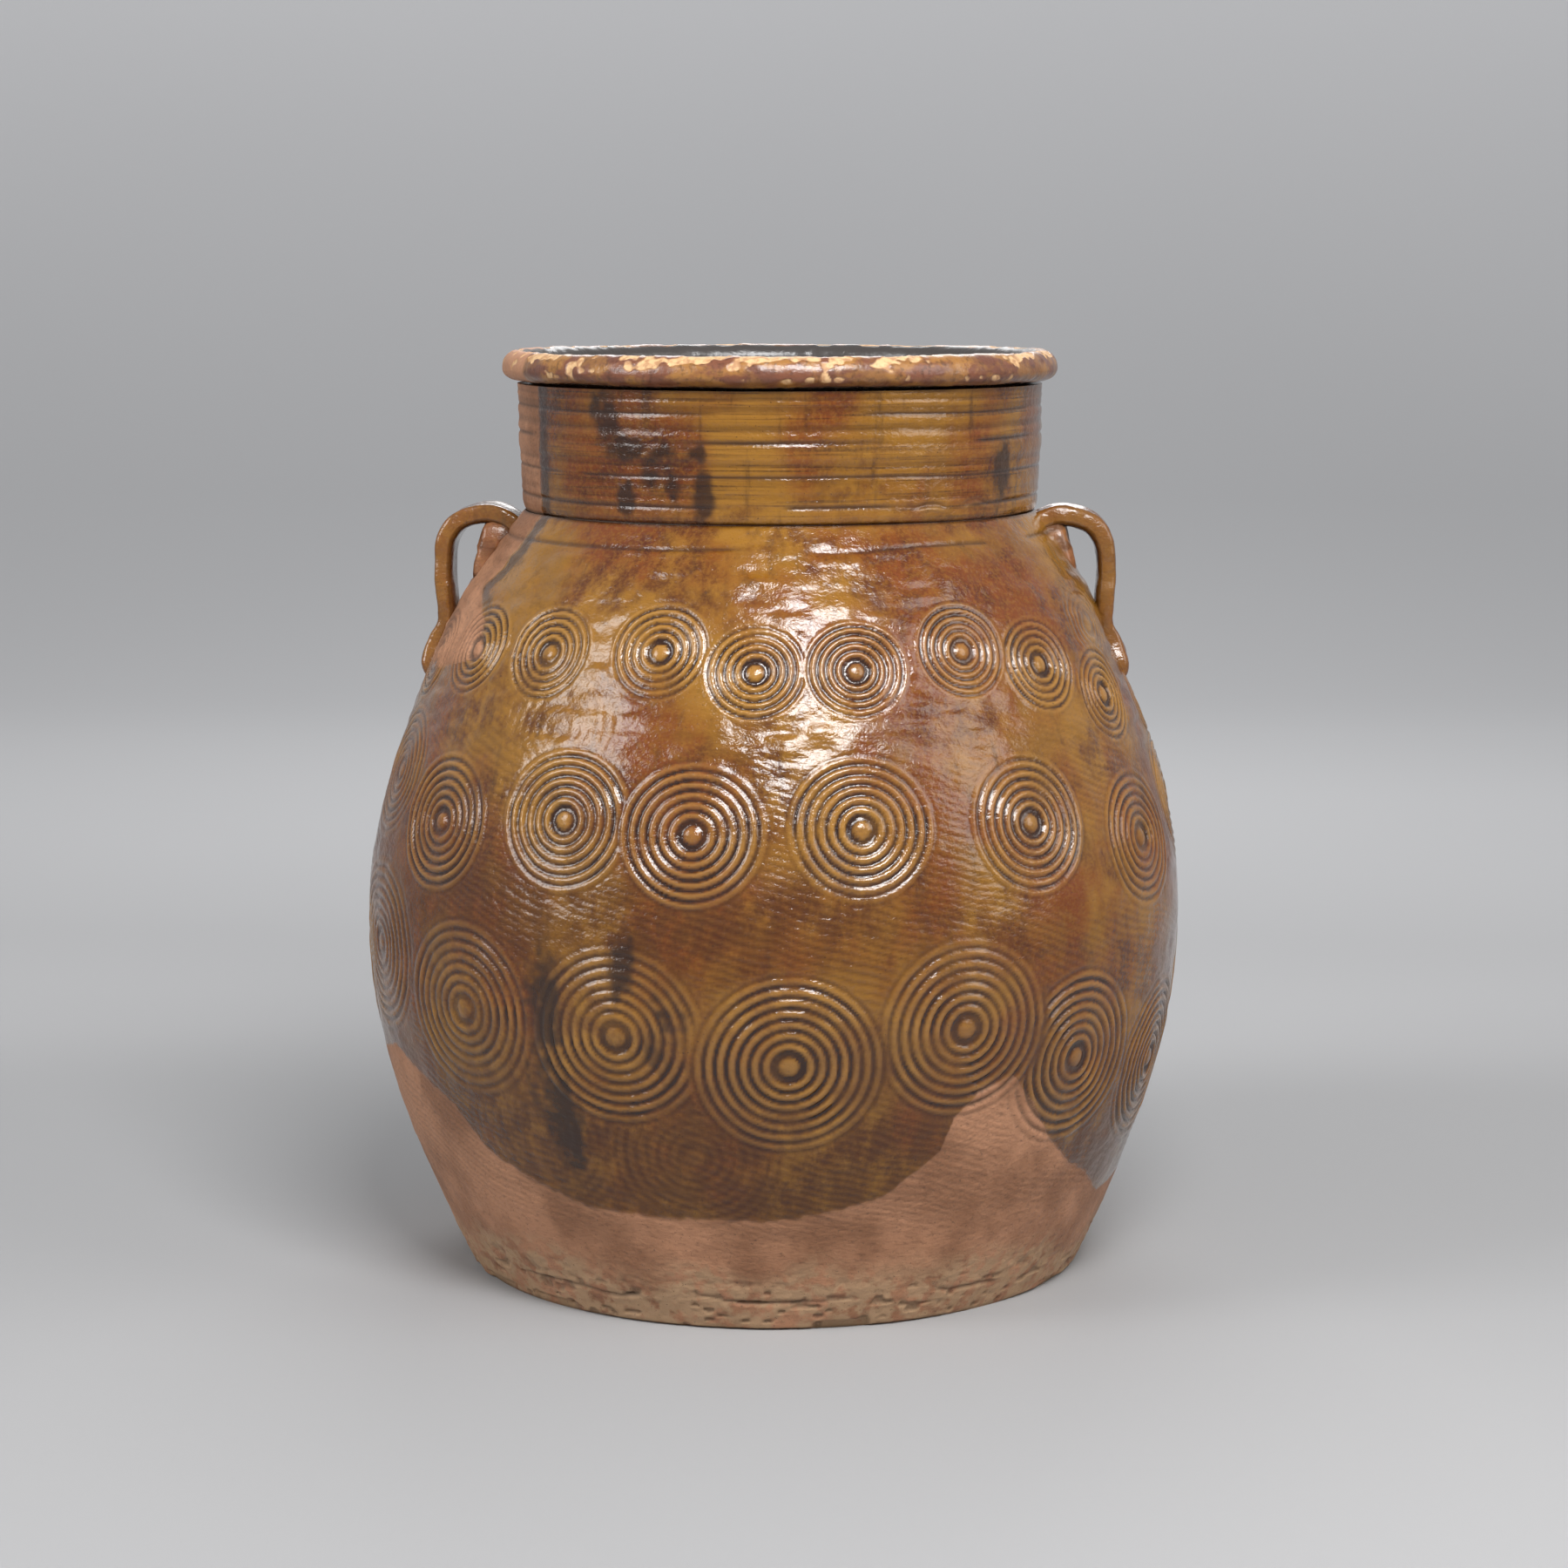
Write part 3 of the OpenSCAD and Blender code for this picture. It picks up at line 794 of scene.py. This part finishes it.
def handle_piece(name, node, side, seed, materials):
    """A strap handle of pulled clay, hollow along its face, with rounded edges painted pale (thinned
    glaze and painted highlight) and its back painted darker as shade.
    """
    turn = np.radians(np.arange(STRAP_SIDES) * 360.0 / STRAP_SIDES)
    on_face = np.sin(turn) > 0.0
    rings = []
    fields = {"thin_glaze_and_highlight": [], "groove": [], "bare": []}
    for s in np.linspace(0.0, HANDLE_LAST, HANDLE_LAST * STRAP_STEPS + 1):
        radius, height, width_share, thick_share = catmull(HANDLE_LINE, s)
        facing = strap_facing(s, height)
        wide = STRAP_WIDTH * width_share * (1.0 + 0.03 * math.sin(s * 3.1 + seed)) / 2.0
        thick = STRAP_THICK * thick_share / 2.0
        across = np.sign(np.cos(turn)) * np.abs(np.cos(turn)) ** 0.5 * wide
        off = np.sign(np.sin(turn)) * np.abs(np.sin(turn)) ** 0.5 * thick
        dip = STRAP_HOLLOW * np.cos(across / wide * math.pi / 2.0) ** 2
        hollow = np.where(on_face, dip, 0.0)
        furrow = 0.18 * np.cos(across / wide * 9.0 + seed) * on_face
        off = off - hollow + furrow
        ring = (side * (radius + facing[0] * off), across, height + facing[1] * off)
        rings.append(np.stack(ring, axis=1))
        # Pale edges: thinned glaze and painted highlight. The back, which faces the jar, is painted
        # half dark as shade, and the hollow along the face a little, as pooled glaze and painted
        # shade.
        fields["thin_glaze_and_highlight"].append(ramp(0.72, 1.0, np.abs(across) / wide) * 0.55)
        fields["groove"].append(np.where(np.sin(turn) < -0.2, 0.5, 0.0) + 0.25 * (hollow > 1.0))
        fields["bare"].append(np.full(STRAP_SIDES, 0.35 * ramp(9.2, 10.5, s)))
    points = np.array(rings)
    points = swollen(points, 0.45 * cloud(points, 9.0, seed) + 0.2 * cloud(points, 3.0, seed + 1))
    flat, faces, uv = capped_tube(points, STRAP_MAP)
    fields["deep"] = 0.5 + 0.4 * cloud(points, 14.0, seed + 2)
    make_piece(name, node, flat, faces, uv, materials, fields)


# The wad's outline under the strap's root, in radius and height, against the shoulder
WAD_OUTLINE = (
    (113, 322), (119, 309), (126, 299), (131, 300.5), (131.5, 306), (129.5, 313), (127.8, 320),
    (125, 325.5), (118, 325.5),
)
WAD_HALF = 15.0
WAD_SIDES = 48
WAD_STEPS = 41


def wad_piece(name, node, side, seed, materials):
    """A thumbed wad of clay that beds the strap's upper root on the shoulder."""
    closed = WAD_OUTLINE + WAD_OUTLINE[:1]
    stations = [len(WAD_OUTLINE) * k / WAD_SIDES for k in range(WAD_SIDES)]
    line = np.array([catmull(closed, s) for s in stations])
    centre = line.mean(axis=0)
    rings = []
    for step in np.linspace(-1.0, 1.0, WAD_STEPS):
        share = (1.0 - abs(step) ** 4) ** 0.5 * 0.55 + 0.45
        thumb = 1.0 + 0.07 * math.cos(step * 13.0 + seed)
        ring = centre + (line - centre) * share * thumb
        across = np.full(WAD_SIDES, step * WAD_HALF)
        rings.append(np.stack((side * ring[:, 0], across, ring[:, 1]), axis=1))
    points = np.array(rings)
    points = swollen(points, 0.5 * cloud(points, 5.0, seed) + 0.25 * cloud(points, 2.2, seed + 1))
    flat, faces, uv = capped_tube(points, WAD_MAP)
    pinched = ramp(0.1, 0.5, cloud(points, 4.0, seed + 2))
    fields = {"groove": pinched * 0.6, "bare": np.full(points.shape[:2], 0.45)}
    make_piece(name, node, flat, faces, uv, materials, fields)


class Shader:
    """A short way to write a material's nodes."""

    def __init__(self, name):
        self.material = bpy.data.materials.new(name)
        self.material.use_nodes = True
        self.tree = self.material.node_tree
        self.surface = self.tree.nodes["Principled BSDF"]
        self.place = self.add("ShaderNodeTexCoord").outputs["Object"]

    def add(self, kind, **settings):
        node = self.tree.nodes.new(kind)
        for name, value in settings.items():
            setattr(node, name, value)
        return node

    def put(self, value, socket):
        if isinstance(value, bpy.types.NodeSocket):
            self.tree.links.new(value, socket)
        else:
            socket.default_value = value

    def give(self, name, value):
        self.put(value, self.surface.inputs[name])

    def field(self, name):
        return self.add("ShaderNodeAttribute", attribute_name=name).outputs["Fac"]

    def noise(self, size_mm, detail=3.0, stretch=(1.0, 1.0, 1.0), rough=0.55):
        scale = self.add("ShaderNodeVectorMath", operation="MULTIPLY")
        self.put(self.place, scale.inputs[0])
        scale.inputs[1].default_value = [1.0 / (size_mm * MM * share) for share in stretch]
        texture = self.add("ShaderNodeTexNoise")
        values = {"Vector": scale.outputs[0], "Scale": 1.0, "Detail": detail, "Roughness": rough}
        for name, value in values.items():
            self.put(value, texture.inputs[name])
        return texture.outputs["Fac"]

    def between(self, value, low, high, to_low=0.0, to_high=1.0):
        node = self.add("ShaderNodeMapRange", interpolation_type="SMOOTHSTEP")
        for index, number in enumerate((value, low, high, to_low, to_high)):
            self.put(number, node.inputs[index])
        return node.outputs[0]

    def math(self, operation, a, b):
        node = self.add("ShaderNodeMath", operation=operation)
        self.put(a, node.inputs[0])
        self.put(b, node.inputs[1])
        return node.outputs[0]

    def mix(self, share, a, b):
        node = self.add("ShaderNodeMix", data_type="RGBA")
        self.put(share, node.inputs[0])
        for value, socket in ((a, node.inputs[6]), (b, node.inputs[7])):
            self.put(value if isinstance(value, bpy.types.NodeSocket) else (*value, 1.0), socket)
        return node.outputs[2]

    def paint(self, colour, over, mask, share):
        """The colour with another laid over it, as much as mask times share."""
        return self.mix(self.math("MULTIPLY", mask, share), colour, over)

    def bump(self, height, distance_mm, strength=1.0, under=None):
        node = self.add("ShaderNodeBump")
        node.inputs["Strength"].default_value = strength
        node.inputs["Distance"].default_value = distance_mm * MM
        self.put(height, node.inputs["Height"])
        if under is not None:
            self.put(under, node.inputs["Normal"])
        return node.outputs["Normal"]


# Colours of the glaze, from light to dark, and of the clay
TAN = (0.46, 0.24, 0.06)
OCHRE = (0.25, 0.111, 0.011)
OLIVE = (0.17, 0.075, 0.007)
AMBER = (0.15, 0.035, 0.003)
DEEP = (0.07, 0.019, 0.001)
REDDISH = (0.066, 0.012, 0.002)
UMBER = (0.026, 0.008, 0.003)
SOOT = (0.018, 0.007, 0.004)
BUFF = (0.4, 0.26, 0.145)
SALMON = (0.42, 0.205, 0.11)
CLAY = (0.25, 0.112, 0.054)
GRIT_AND_SHADE = (0.06, 0.035, 0.022)

# Colours of the lip, and of the thin glaze inside
CREAM = (0.66, 0.42, 0.21)
HONEY = (0.42, 0.22, 0.1)
RUSSET = (0.31, 0.14, 0.035)
MAROON = (0.17, 0.06, 0.03)
PLUM = (0.09, 0.035, 0.025)
SLATE = (0.05, 0.042, 0.038)
RUST = (0.2, 0.13, 0.08)
ASH = (0.12, 0.1, 0.085)
CHARCOAL = (0.045, 0.04, 0.037)


def clay_colour(s):
    """Matt red clay, buff and gritty at the foot."""
    clay = s.mix(s.between(s.noise(34.0, 4.0), 0.35, 0.65), CLAY, SALMON)
    smears = s.between(s.noise(3.0, 4.0, (1.0, 1.0, 0.5)), 0.5, 0.75)
    clay = s.paint(clay, UMBER, smears, 0.3)
    foot = s.math("MULTIPLY", s.field("foot"), s.between(s.noise(7.0, 4.0), 0.38, 0.55))
    clay = s.paint(clay, BUFF, foot, 0.8)
    # The clay's grooves, pits and cracks are painted dark: painted shade.
    clay = s.paint(clay, GRIT_AND_SHADE, s.field("groove"), 0.8)
    dots = s.between(s.noise(1.4, 2.0, rough=0.7), 0.64, 0.72)
    return s.paint(clay, GRIT_AND_SHADE, dots, 0.6)


def glaze_finish(name, run_share, ochre_from=0.4, wheel_share=0.0):
    """Runny brown ash glaze over red clay, and the bare clay where the glaze stops."""
    s = Shader(name)
    clouds = s.noise(60.0, 4.0, (1.0, 1.0, 1.3))
    mottle = s.noise(9.0, 5.0, (1.0, 1.0, 1.5), 0.65)
    colour = s.mix(s.between(clouds, ochre_from, ochre_from + 0.18), AMBER, OCHRE)
    smoke = s.between(s.noise(34.0, 3.0, (1.3, 1.3, 0.8)), 0.44, 0.6)
    dark = s.math("MULTIPLY", s.between(mottle, 0.36, 0.62), smoke)
    colour = s.paint(colour, REDDISH, dark, 0.85)
    wheel = s.noise(2.6, 3.0, (24.0, 24.0, 0.5), 0.6)
    colour = s.paint(colour, UMBER, s.between(wheel, 0.5, 0.7), wheel_share)
    runs = s.noise(7.0, 4.0, (1.0, 1.0, 7.0), 0.6)
    colour = s.paint(colour, UMBER, s.between(runs, 0.54, 0.74), run_share)
    colour = s.paint(colour, OLIVE, s.between(s.noise(26.0, 3.0), 0.52, 0.7), 0.55)
    colour = s.paint(colour, OCHRE, s.between(s.noise(1.6, 3.0), 0.4, 0.7), 0.35)
    colour = s.paint(colour, DEEP, s.field("deep"), s.between(mottle, 0.3, 0.6, 0.35, 0.85))
    # Ridges painted lighter: thinned glaze, and painted highlight.
    colour = s.paint(colour, TAN, s.field("thin_glaze_and_highlight"), 0.36)
    # Grooves painted dark: pooled glaze, and painted shade in the hollows.
    colour = s.mix(s.field("groove"), colour, UMBER)
    specks = s.between(s.noise(1.1, 2.0, rough=0.7), 0.66, 0.74)
    colour = s.paint(colour, SOOT, specks, 0.7)
    colour = s.paint(colour, SOOT, s.field("stain"), 0.85)
    bare = s.field("bare")
    colour = s.mix(bare, colour, clay_colour(s))
    s.give("Base Color", colour)
    wet = s.between(s.noise(14.0, 4.0), 0.3, 0.75, 0.08, 0.24)
    rough = s.math("MAXIMUM", wet, s.math("MULTIPLY", bare, 0.62))
    s.give("Roughness", rough)
    s.give("IOR", 1.48)
    s.give("Coat Weight", s.between(bare, 0.0, 1.0, 0.25, 0.0))
    s.give("Coat Roughness", 0.05)
    peel = s.bump(s.noise(3.2, 3.0, (1.2, 1.2, 0.8)), 0.55, 0.9)
    s.give("Normal", s.bump(s.noise(0.9, 3.0), 0.12, 0.8, peel))
    return s.material


def lip_finish():
    """Maroon and ochre glaze, flaked to cream clay along the crest."""
    s = Shader("lip_glaze")
    patches = s.between(s.noise(12.0, 4.0, (1.0, 1.0, 0.6)), 0.42, 0.6)
    colour = s.mix(patches, MAROON, RUSSET)
    colour = s.paint(colour, UMBER, s.between(s.noise(2.5, 3.0), 0.5, 0.7), 0.5)
    colour = s.paint(colour, PLUM, s.field("stain"), 0.6)
    # The roll's underside painted dark: painted shade under the roll.
    colour = s.paint(colour, UMBER, s.field("groove"), 0.8)
    bare = s.field("bare")
    colour = s.mix(bare, colour, SALMON)
    flake = s.field("flake")
    chipped = s.mix(s.between(s.noise(3.0, 3.0), 0.4, 0.65), CREAM, HONEY)
    colour = s.mix(flake, colour, chipped)
    colour = s.mix(s.field("inner"), colour, SLATE)
    s.give("Base Color", colour)
    matt = s.math("MAXIMUM", flake, bare)
    s.give("Roughness", s.math("ADD", s.math("MULTIPLY", matt, 0.35), 0.28))
    s.give("IOR", 1.55)
    s.give("Normal", s.bump(s.noise(1.6, 3.0), 0.25, 0.8))
    return s.material


def inside_finish():
    """Thin grey-black glaze inside, shiny, with throwing rings."""
    s = Shader("inside_glaze")
    tone = s.mix(s.between(s.noise(20.0, 4.0), 0.35, 0.65), CHARCOAL, ASH)
    tone = s.paint(tone, RUST, s.between(s.noise(2.0, 3.0), 0.5, 0.7), 0.4)
    s.give("Base Color", tone)
    s.give("Roughness", s.between(s.noise(9.0, 3.0), 0.3, 0.7, 0.12, 0.3))
    s.give("IOR", 1.6)
    s.give("Normal", s.bump(s.noise(4.0, 3.0, (8.0, 8.0, 0.6)), 0.4, 0.8))
    return s.material


def clay_finish():
    """Bare clay for the base slab."""
    s = Shader("bare_clay")
    s.give("Base Color", clay_colour(s))
    s.give("Roughness", s.between(s.noise(5.0, 3.0), 0.3, 0.7, 0.55, 0.8))
    s.give("Normal", s.bump(s.noise(0.9, 4.0), 0.2, 0.8))
    return s.material


def seen_directly(tree):
    """1 for camera rays and for reflected and refracted ones, and 0 for all others."""
    path = tree.nodes.new("ShaderNodeLightPath")
    total = path.outputs["Is Camera Ray"]
    for name in ("Is Glossy Ray", "Is Transmission Ray"):
        add = tree.nodes.new("ShaderNodeMath")
        add.operation = "MAXIMUM"
        tree.links.new(total, add.inputs[0])
        tree.links.new(path.outputs[name], add.inputs[1])
        total = add.outputs[0]
    return total


# The backdrop, in metres: half its width, where it bends up, how widely, and its top
SWEEP_HALF = 60.0
BEND_START = 2.0
BEND_RADIUS = 1.6
BEND_STEPS = 24
SWEEP_TOP = 4.0
SWEEP_GREYS = ((0.345, 0.345, 0.351), (0.362, 0.362, 0.368))


def sweep_glow(s):
    """How much the backdrop shines: more with distance, and in a faint rim behind the jar."""
    split = s.add("ShaderNodeSeparateXYZ")
    s.put(s.place, split.inputs[0])
    x = split.outputs["X"]
    y = split.outputs["Y"]
    behind = s.between(y, -0.1, 1.5, 0.0, 0.2)
    high = s.between(split.outputs["Z"], 0.0, 1.5, 0.0, 0.24)
    aside = s.between(s.math("ABSOLUTE", x, 0.0), 1.4, 4.0, 0.0, 0.3)
    in_front = s.between(s.math("MULTIPLY", y, -1.0), 1.6, 4.0, 0.0, 0.3)
    far = s.math("MAXIMUM", s.math("ADD", behind, high), s.math("MAXIMUM", aside, in_front))
    rise = s.between(y, 0.3, 0.48, 0.0, 0.035)
    fall = s.between(y, 0.55, 0.8, 0.0, 0.035)
    return s.math("SUBTRACT", s.math("ADD", far, rise), fall)


def backdrop():
    """A pale grey sweep: a wide floor that curves up into a wall beyond the camera's orbit."""
    s = Shader("pale_sweep")
    tint = s.mix(s.between(s.noise(900.0, 1.0), 0.3, 0.7), *SWEEP_GREYS)
    s.give("Base Color", tint)
    s.give("Roughness", 0.9)
    s.give("Emission Color", (0.97, 0.975, 1.0, 1.0))
    glow = s.math("MULTIPLY", sweep_glow(s), seen_directly(s.tree))
    s.give("Emission Strength", glow)
    profile = [(-SWEEP_HALF, 0.0), (0.0, 0.0), (BEND_START, 0.0)]
    for step in range(1, BEND_STEPS + 1):
        a = math.radians(90.0 * step / BEND_STEPS)
        y = BEND_START + BEND_RADIUS * math.sin(a)
        profile.append((y, BEND_RADIUS - BEND_RADIUS * math.cos(a)))
    profile.append((BEND_START + BEND_RADIUS, SWEEP_TOP))
    vertices = [(x, y, z) for y, z in profile for x in (-SWEEP_HALF, SWEEP_HALF)]
    faces = [(2 * k, 2 * k + 1, 2 * k + 3, 2 * k + 2) for k in range(len(profile) - 1)]
    mesh = bpy.data.meshes.new("sweep")
    mesh.from_pydata(vertices, [], faces)
    mesh.shade_smooth()
    mesh.materials.append(s.material)
    sweep = bpy.data.objects.new("sweep", mesh)
    bpy.context.scene.collection.objects.link(sweep)


WHITE = (1.0, 1.0, 1.0)

# The lamps, in metres and watts: azimuth, elevation, distance, width, height, power and colour
LAMPS = {
    "key": (17.0, 42.0, 1.5, 0.66, 0.52, 25.0, WHITE),
    "right_fill": (66.0, 26.0, 1.7, 0.8, 1.1, 9.0, (1.0, 0.97, 0.94)),
    "left_fill": (-58.0, 26.0, 2.0, 0.7, 1.0, 17.0, WHITE),
    "back_fill": (180.0, 34.0, 2.2, 1.2, 0.9, 16.0, WHITE),
}
LAMP_AIM_HEIGHT = 0.25
WORLD_COLOUR = (0.9, 0.92, 0.95, 1.0)

# The world's strength as a light, and as it is seen and reflected
WORLD_LIGHT = 0.3
WORLD_SEEN = 0.5


def soft_box(name, azimuth, elevation, distance, width, height, power, colour):
    """A rectangular soft lamp that faces the jar's shoulder."""
    lamp = bpy.data.lights.new(name, "AREA")
    lamp.shape = "RECTANGLE"
    lamp.size = width
    lamp.size_y = height
    lamp.energy = power
    lamp.color = colour
    holder = bpy.data.objects.new(name, lamp)
    a = math.radians(azimuth)
    e = math.radians(elevation)
    holder.location = (
        distance * math.sin(a) * math.cos(e),
        -distance * math.cos(a) * math.cos(e),
        LAMP_AIM_HEIGHT + distance * math.sin(e),
    )
    holder.rotation_euler = (math.radians(90.0 - elevation), 0.0, a)
    bpy.context.scene.collection.objects.link(holder)


def studio():
    """Soft lamps, an even grey world and the camera at the photograph's angle."""
    world = bpy.data.worlds.new("studio")
    world.use_nodes = True
    tree = world.node_tree
    background = tree.nodes["Background"]
    background.inputs["Color"].default_value = WORLD_COLOUR
    strength = tree.nodes.new("ShaderNodeMapRange")
    strength.inputs["To Min"].default_value = WORLD_LIGHT
    strength.inputs["To Max"].default_value = WORLD_SEEN
    tree.links.new(seen_directly(tree), strength.inputs["Value"])
    tree.links.new(strength.outputs[0], background.inputs["Strength"])
    scene = bpy.context.scene
    scene.world = world
    scene.view_settings.view_transform = "Standard"
    for name, settings in LAMPS.items():
        soft_box(name, *settings)
    data = bpy.data.cameras.new("camera")
    data.lens = CAMERA_LENS
    data.sensor_width = 36.0
    data.dof.use_dof = False
    camera = bpy.data.objects.new("camera", data)
    turn = math.radians(CAMERA_AZIMUTH)
    camera.location = (
        (CAMERA_ASIDE * math.cos(turn) + CAMERA_DISTANCE * math.sin(turn)) * MM,
        (CAMERA_ASIDE * math.sin(turn) - CAMERA_DISTANCE * math.cos(turn)) * MM,
        CAMERA_HEIGHT * MM,
    )
    camera.rotation_euler = (math.radians(90.0 - CAMERA_PITCH), 0.0, turn)
    scene.collection.objects.link(camera)
    scene.camera = camera


# The two walls: slot, lowest and highest point, and their inner rows from the top down
WALLS = {
    "lower_wall": ("brown_glaze", SLAB_TOP, WALL_SEAM, np.linspace(118.0, 20.0, 24)),
    "upper_wall": ("amber_glaze", WALL_SEAM, NECK_SEAM, np.linspace(326.0, 124.0, 40)),
}

studio()
backdrop()
amber = glaze_finish("amber_glaze", 0.5)
brown = glaze_finish("brown_glaze", 0.7, 0.4, 0.7)
strap = glaze_finish("strap_glaze", 0.7, 0.5)
clay = clay_finish()
inside = inside_finish()
slab_piece((clay, inside))
for name, stretch in WALLS.items():
    wall_piece(name + "_skin", name, *stretch, (amber, inside))
neck_piece((brown, inside))
lip_piece((lip_finish(), inside))
for name, side, seed in (("left_handle", -1, 91), ("right_handle", 1, 95)):
    handle_piece(name + "_strap", name, side, seed, (strap,))
    wad_piece(name + "_wad_clay", name + "_wad", side, seed + 2, (strap,))
